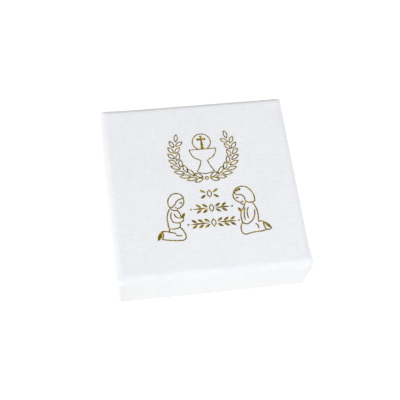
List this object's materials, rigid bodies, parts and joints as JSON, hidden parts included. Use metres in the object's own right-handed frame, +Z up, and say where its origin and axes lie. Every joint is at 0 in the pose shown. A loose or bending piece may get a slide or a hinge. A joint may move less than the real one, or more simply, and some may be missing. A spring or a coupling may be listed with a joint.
{
  "type": "earring box",
  "caption": "Small square rigid gift box with a full-depth lift-off lid, white linen-embossed paper wrap, gold foil print on top and a slit velvet pad inside for earrings.",
  "frame": {"origin": "middle of the box's underside, on the table", "axes": "+X towards the right of the print, +Y towards the back, +Z up through the lid"},
  "size_m": [0.06, 0.06, 0.0182],
  "materials": {
    "linen_paper": "white, linen-embossed",
    "lining_paper": "plain white",
    "greyboard": "raw recycled greyboard",
    "gummed_tape": "brown gummed kraft paper",
    "white_card": "matt white card",
    "foam": "soft white polyurethane foam",
    "flocked_cover": "white flocked velvet sheet",
    "gold_foil": "hot-stamped gold foil"
  },
  "bodies": {
    "base": {"base_board": "greyboard", "base_corner_stay_1": "gummed_tape", "base_corner_stay_2": "gummed_tape", "base_corner_stay_3": "gummed_tape", "base_corner_stay_4": "gummed_tape", "base_wrap": "linen_paper", "base_foot_sheet": "lining_paper", "pad_card": "white_card", "pad_foam": "foam", "pad_cover": "flocked_cover"},
    "lid": {"lid_board": "greyboard", "lid_corner_stay_1": "gummed_tape", "lid_corner_stay_2": "gummed_tape", "lid_corner_stay_3": "gummed_tape", "lid_corner_stay_4": "gummed_tape", "lid_wrap": "linen_paper", "lid_lining": "lining_paper", "foil_wreath": "gold_foil", "foil_chalice": "gold_foil", "foil_host": "gold_foil", "foil_boy": "gold_foil", "foil_girl": "gold_foil", "foil_dividers": "gold_foil"}
  },
  "joints": [
    {"name": "lid_lift", "type": "slide", "parent": "base", "child": "lid", "axis": [0, 0, 1], "range_m": [0, 0.06]}
  ]
}
